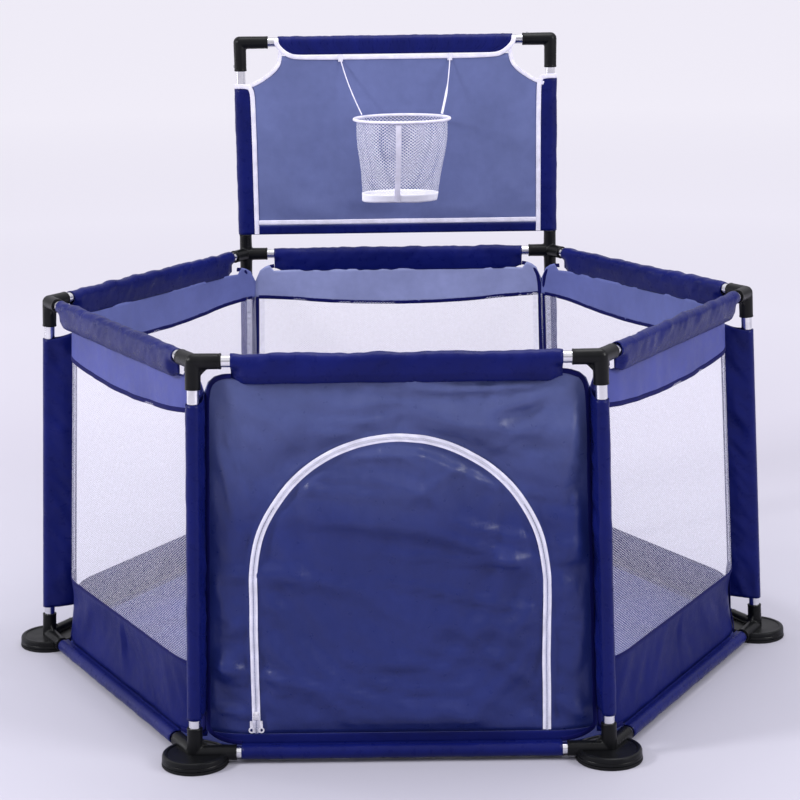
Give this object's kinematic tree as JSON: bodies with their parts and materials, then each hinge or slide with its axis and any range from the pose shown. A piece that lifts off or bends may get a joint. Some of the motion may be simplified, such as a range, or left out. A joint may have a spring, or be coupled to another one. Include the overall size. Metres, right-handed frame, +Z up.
{
  "type": "play yard",
  "caption": "Six-sided tube-frame play yard with mesh and cloth walls, an arched zip door, suction feet and a toy basketball backboard at the rear.",
  "frame": {"origin": "centre of the hexagon on the floor, under the suction feet", "axes": "+Z up, -Y out of the zip door, +X to the right seen from the door"},
  "size_m": [1.425, 1.2484, 1.0906],
  "materials": {
    "plated_steel": "bright plated tube",
    "black_plastic": "satin moulded",
    "black_rubber": "matte",
    "navy_cloth": "coated oxford weave with a soft shine",
    "blue_grey_cloth": "thin woven cloth",
    "white_trim": "woven tape",
    "white_net": "open knitted net",
    "zip_metal": "white lacquer",
    "button_steel": "black lacquer"
  },
  "bodies": {
    "yard": {"post_right": "plated_steel", "post_rear_right": "plated_steel", "post_rear_left": "plated_steel", "post_left": "plated_steel", "post_front_left": "plated_steel", "post_front_right": "plated_steel", "top_rail_rear_right": "plated_steel", "top_rail_rear": "plated_steel", "top_rail_rear_left": "plated_steel", "top_rail_front_left": "plated_steel", "top_rail_front": "plated_steel", "top_rail_front_right": "plated_steel", "bottom_rail_rear_right": "plated_steel", "bottom_rail_rear": "plated_steel", "bottom_rail_rear_left": "plated_steel", "bottom_rail_front_left": "plated_steel", "bottom_rail_front": "plated_steel", "bottom_rail_front_right": "plated_steel", "top_connector_right": "black_plastic", "top_connector_rear_right": "black_plastic", "top_connector_rear_left": "black_plastic", "top_connector_left": "black_plastic", "top_connector_front_left": "black_plastic", "top_connector_front_right": "black_plastic", "foot_connector_right": "black_plastic", "foot_connector_rear_right": "black_plastic", "foot_connector_rear_left": "black_plastic", "foot_connector_left": "black_plastic", "foot_connector_front_left": "black_plastic", "foot_connector_front_right": "black_plastic", "suction_foot_right": "black_rubber", "suction_foot_rear_right": "black_rubber", "suction_foot_rear_left": "black_rubber", "suction_foot_left": "black_rubber", "suction_foot_front_left": "black_rubber", "suction_foot_front_right": "black_rubber", "wall_rear_right_side": "navy_cloth", "wall_rear": "navy_cloth", "wall_rear_left_side": "navy_cloth", "wall_front_left_side": "navy_cloth", "wall_front": "navy_cloth", "wall_front_right_side": "navy_cloth", "floor_cloth": "navy_cloth"},
    "door": {"door_panel": "navy_cloth"},
    "zip_slider": {"zip_slider": "zip_metal"},
    "zip_pull_left": {"zip_pull_left": "zip_metal"},
    "zip_pull_right": {"zip_pull_right": "zip_metal"},
    "hoop_frame": {"upright_left": "plated_steel", "upright_right": "plated_steel", "hoop_rail": "plated_steel", "elbow_left": "black_plastic", "elbow_right": "black_plastic", "backboard_cover": "blue_grey_cloth"},
    "basket": {"basket_ring": "white_trim", "basket_net": "white_net", "basket_string_left": "white_trim", "basket_string_right": "white_trim"},
    "snap_button_left": {"snap_button_left": "button_steel"},
    "snap_button_right": {"snap_button_right": "button_steel"}
  },
  "joints": [
    {"name": "door_hinge", "type": "hinge", "parent": "yard", "child": "door", "pos_m": [0, -0.5616, 0.042], "axis": [1, 0, 0], "range_deg": [0, 90]},
    {"name": "zip_slide", "type": "slide", "parent": "door", "child": "zip_slider", "axis": [0, 0.0454, 0.999], "range_m": [0, 0.2]},
    {"name": "zip_pull_left_flip", "type": "hinge", "parent": "zip_slider", "child": "zip_pull_left", "pos_m": [-0.2388, -0.56377, 0.06696], "axis": [-1, 0, 0], "range_deg": [0, 110]},
    {"name": "zip_pull_right_flip", "type": "hinge", "parent": "zip_slider", "child": "zip_pull_right", "pos_m": [-0.2232, -0.56377, 0.06696], "axis": [-1, 0, 0], "range_deg": [0, 110]},
    {"name": "hoop_frame_lift", "type": "slide", "parent": "yard", "child": "hoop_frame", "axis": [0, 0, 1], "range_m": [0, 0.045]},
    {"name": "basket_swing", "type": "hinge", "parent": "hoop_frame", "child": "basket", "pos_m": [0, 0.52688, 1.0405], "axis": [-1, 0, 0], "range_deg": [0, 65]},
    {"name": "snap_button_left_press", "type": "slide", "parent": "hoop_frame", "child": "snap_button_left", "axis": [1, 0, 0], "range_m": [0, 0.003], "stiffness_N_per_m": 900, "springref_m": -0.002},
    {"name": "snap_button_right_press", "type": "slide", "parent": "hoop_frame", "child": "snap_button_right", "axis": [0, 0, -1], "range_m": [0, 0.003], "stiffness_N_per_m": 900, "springref_m": -0.002}
  ]
}
